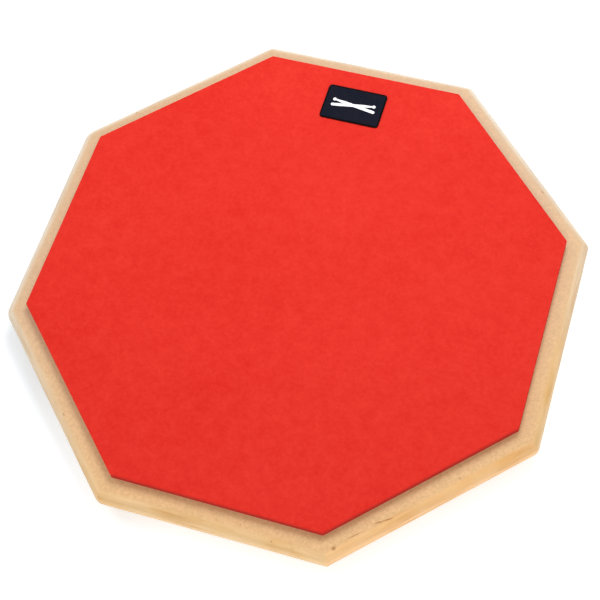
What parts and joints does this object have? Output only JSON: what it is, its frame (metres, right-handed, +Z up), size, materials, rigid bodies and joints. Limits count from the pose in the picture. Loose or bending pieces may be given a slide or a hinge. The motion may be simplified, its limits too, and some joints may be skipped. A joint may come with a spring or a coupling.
{
  "type": "drum practice pad",
  "caption": "Octagonal drum practice pad: a red rubber striking pad on a pale fibreboard core with rounded edges, a small dark badge, and a foam pad underneath to stand on.",
  "frame": {"origin": "centre of the rear foam pad's underside, on the surface that the pad stands on", "axes": "+Z up through the thickness, towards the striking pad; +Y towards the badge; +X to the right seen from above with the badge at the top"},
  "size_m": [0.3048, 0.3048, 0.0262],
  "materials": {
    "striking_rubber": "matte",
    "fibreboard": "satin",
    "foam_rubber": "matte",
    "adhesive": "satin",
    "badge": "satin",
    "badge_print": "satin"
  },
  "bodies": {
    "root": {"rear_foam_pad": "foam_rubber", "rear_pad_adhesive": "adhesive", "core_board": "fibreboard", "striking_pad_adhesive": "adhesive", "striking_pad": "striking_rubber", "badge_adhesive": "adhesive", "badge_plate": "badge", "badge_motif": "badge_print"}
  },
  "joints": []
}
